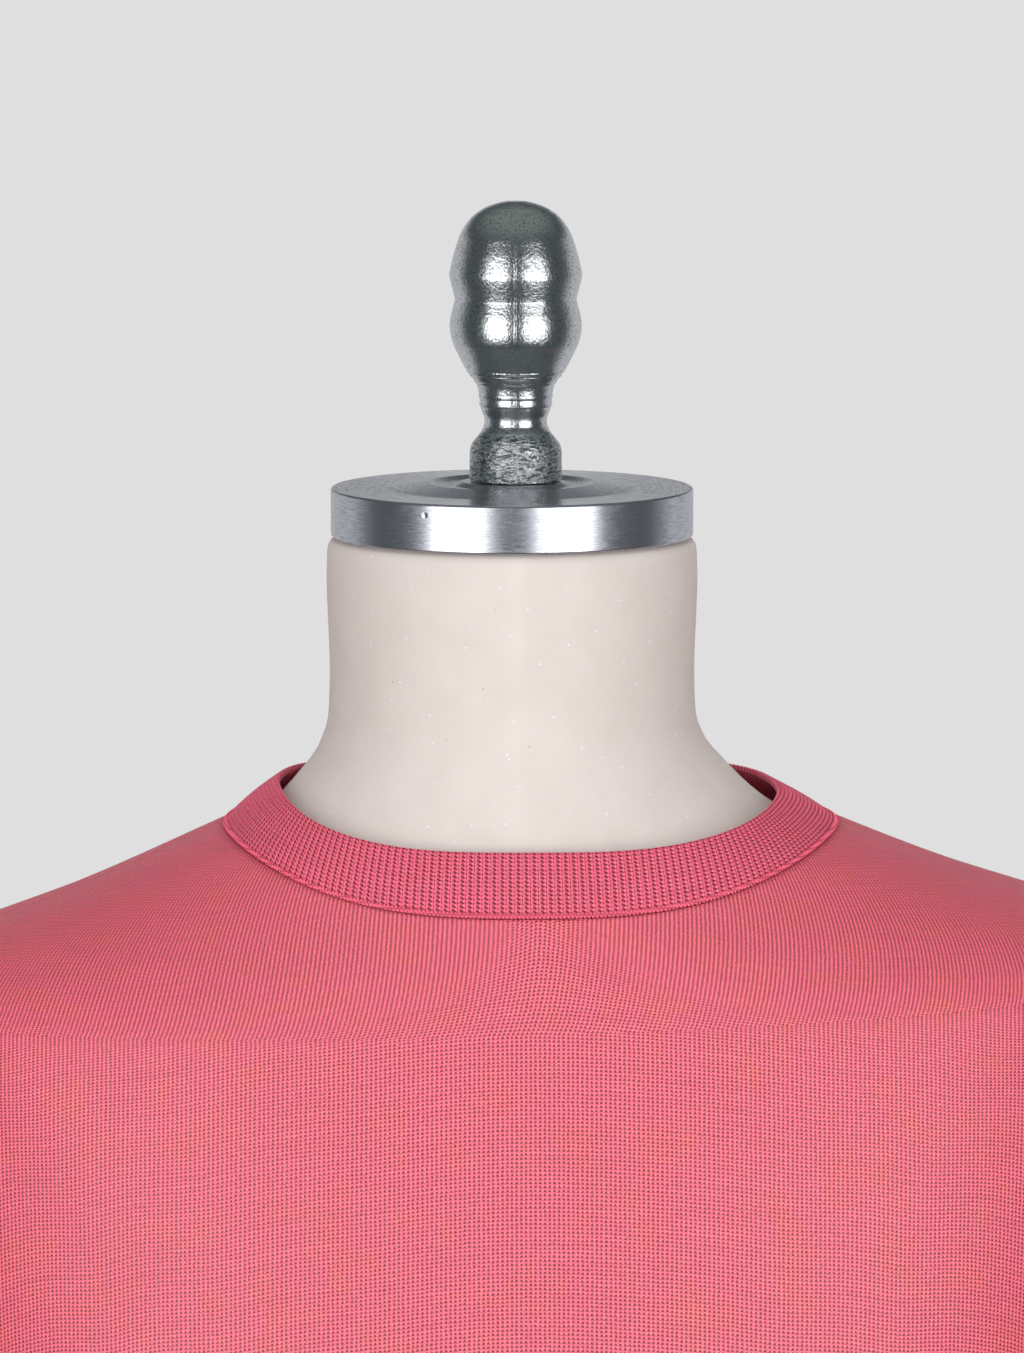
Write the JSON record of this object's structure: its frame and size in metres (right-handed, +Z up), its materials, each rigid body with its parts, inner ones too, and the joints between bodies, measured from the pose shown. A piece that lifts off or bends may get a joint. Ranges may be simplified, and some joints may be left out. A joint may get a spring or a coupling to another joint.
{
  "type": "long-sleeve knitted top on a limbless dress form",
  "caption": "Coral knitted crew-neck top with long sleeves, worn by a canvas-covered limbless dress form with a metal cap and finial, on a short pole and round base.",
  "frame": {"origin": "middle of the base plate's underside, on the surface that the part stands on", "axes": "+Z up along the pole and the neck, the chest faces -Y, +X is to the right in the front view"},
  "size_m": [0.5214, 0.32, 1.0812],
  "materials": {
    "knit": "fine-gauge plain knit, coral pink",
    "rib": "fine one-by-one rib knit, coral pink",
    "canvas": "unbleached flecked cotton canvas",
    "brushed_aluminium": "turned and brushed",
    "polished_aluminium": "cast, turned and polished",
    "stand_steel": "satin"
  },
  "bodies": {
    "root": {"front": "knit", "back": "knit", "sleeve_left": "knit", "sleeve_right": "knit", "collar": "rib", "form_body": "canvas", "neck_cap": "brushed_aluminium", "finial": "polished_aluminium", "pole": "stand_steel", "base_plate": "stand_steel"}
  },
  "joints": []
}
